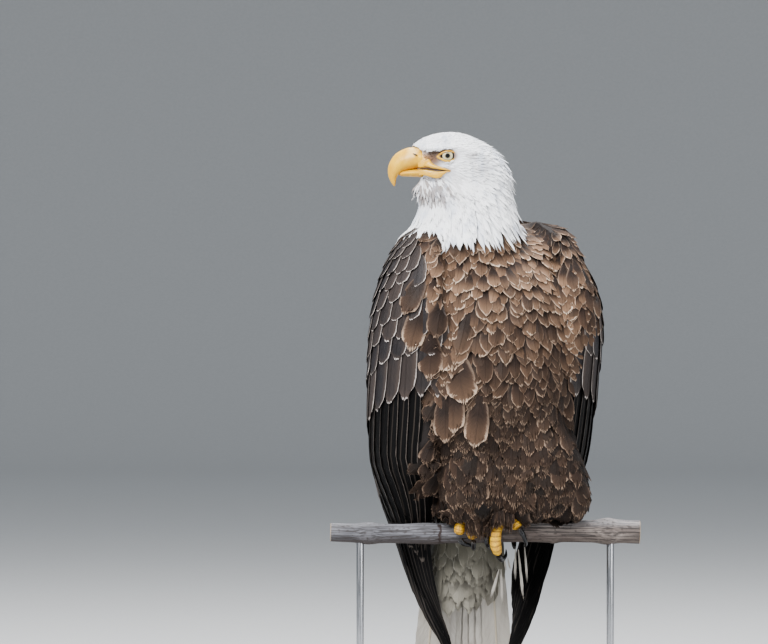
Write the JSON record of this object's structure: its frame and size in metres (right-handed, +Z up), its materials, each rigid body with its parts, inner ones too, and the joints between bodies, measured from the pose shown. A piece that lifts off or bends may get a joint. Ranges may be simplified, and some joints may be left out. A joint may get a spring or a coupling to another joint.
{
  "type": "bald eagle",
  "caption": "Life-size bald eagle perched upright on a short branch, head in profile, held up by a flat stand with thin rods.",
  "frame": {"origin": "centre of the underside of the stand's base", "axes": "+Z up, the branch along X, the bird's breast towards -Y and its bill towards -X"},
  "size_m": [0.376, 0.2563, 0.7461],
  "materials": {
    "white_feathers": "dense white feathers of the head, neck, vent and tail",
    "brown_feathers": "dark brown contour feathers with pale tan edges",
    "flight_feathers": "blackish brown flight feathers with a faint gloss",
    "bill_horn": "smooth yellow horn",
    "foot_scales": "orange-yellow scaled skin",
    "talon_horn": "polished black horn",
    "eyes": "glass-bright eye with a pale yellow iris",
    "perch_wood": "weathered grey branch with its bark gone",
    "stand_wood": "dark stained and satin varnished wood",
    "stand_steel": "satin steel rod"
  },
  "bodies": {
    "root": {"head": "white_feathers", "neck": "white_feathers", "bill_upper": "bill_horn", "bill_lower": "bill_horn", "eye_left": "eyes", "eye_right": "eyes", "trunk": "brown_feathers", "vent": "white_feathers", "tail": "white_feathers", "thigh_right": "brown_feathers", "thigh_left": "brown_feathers", "wing_right_shoulder": "brown_feathers", "wing_right_secondaries": "flight_feathers", "wing_right_primaries": "flight_feathers", "wing_left_shoulder": "brown_feathers", "wing_left_secondaries": "flight_feathers", "wing_left_primaries": "flight_feathers", "leg_right": "foot_scales", "leg_left": "foot_scales", "toe_right_1": "foot_scales", "toe_right_2": "foot_scales", "toe_right_3": "foot_scales", "toe_right_4": "foot_scales", "toe_left_1": "foot_scales", "toe_left_2": "foot_scales", "toe_left_3": "foot_scales", "toe_left_4": "foot_scales", "talon_right_1": "talon_horn", "talon_right_2": "talon_horn", "talon_right_3": "talon_horn", "talon_right_4": "talon_horn", "talon_left_1": "talon_horn", "talon_left_2": "talon_horn", "talon_left_3": "talon_horn", "talon_left_4": "talon_horn", "perch": "perch_wood", "stand_base": "stand_wood", "stand_rod_left": "stand_steel", "stand_rod_right": "stand_steel"}
  },
  "joints": []
}
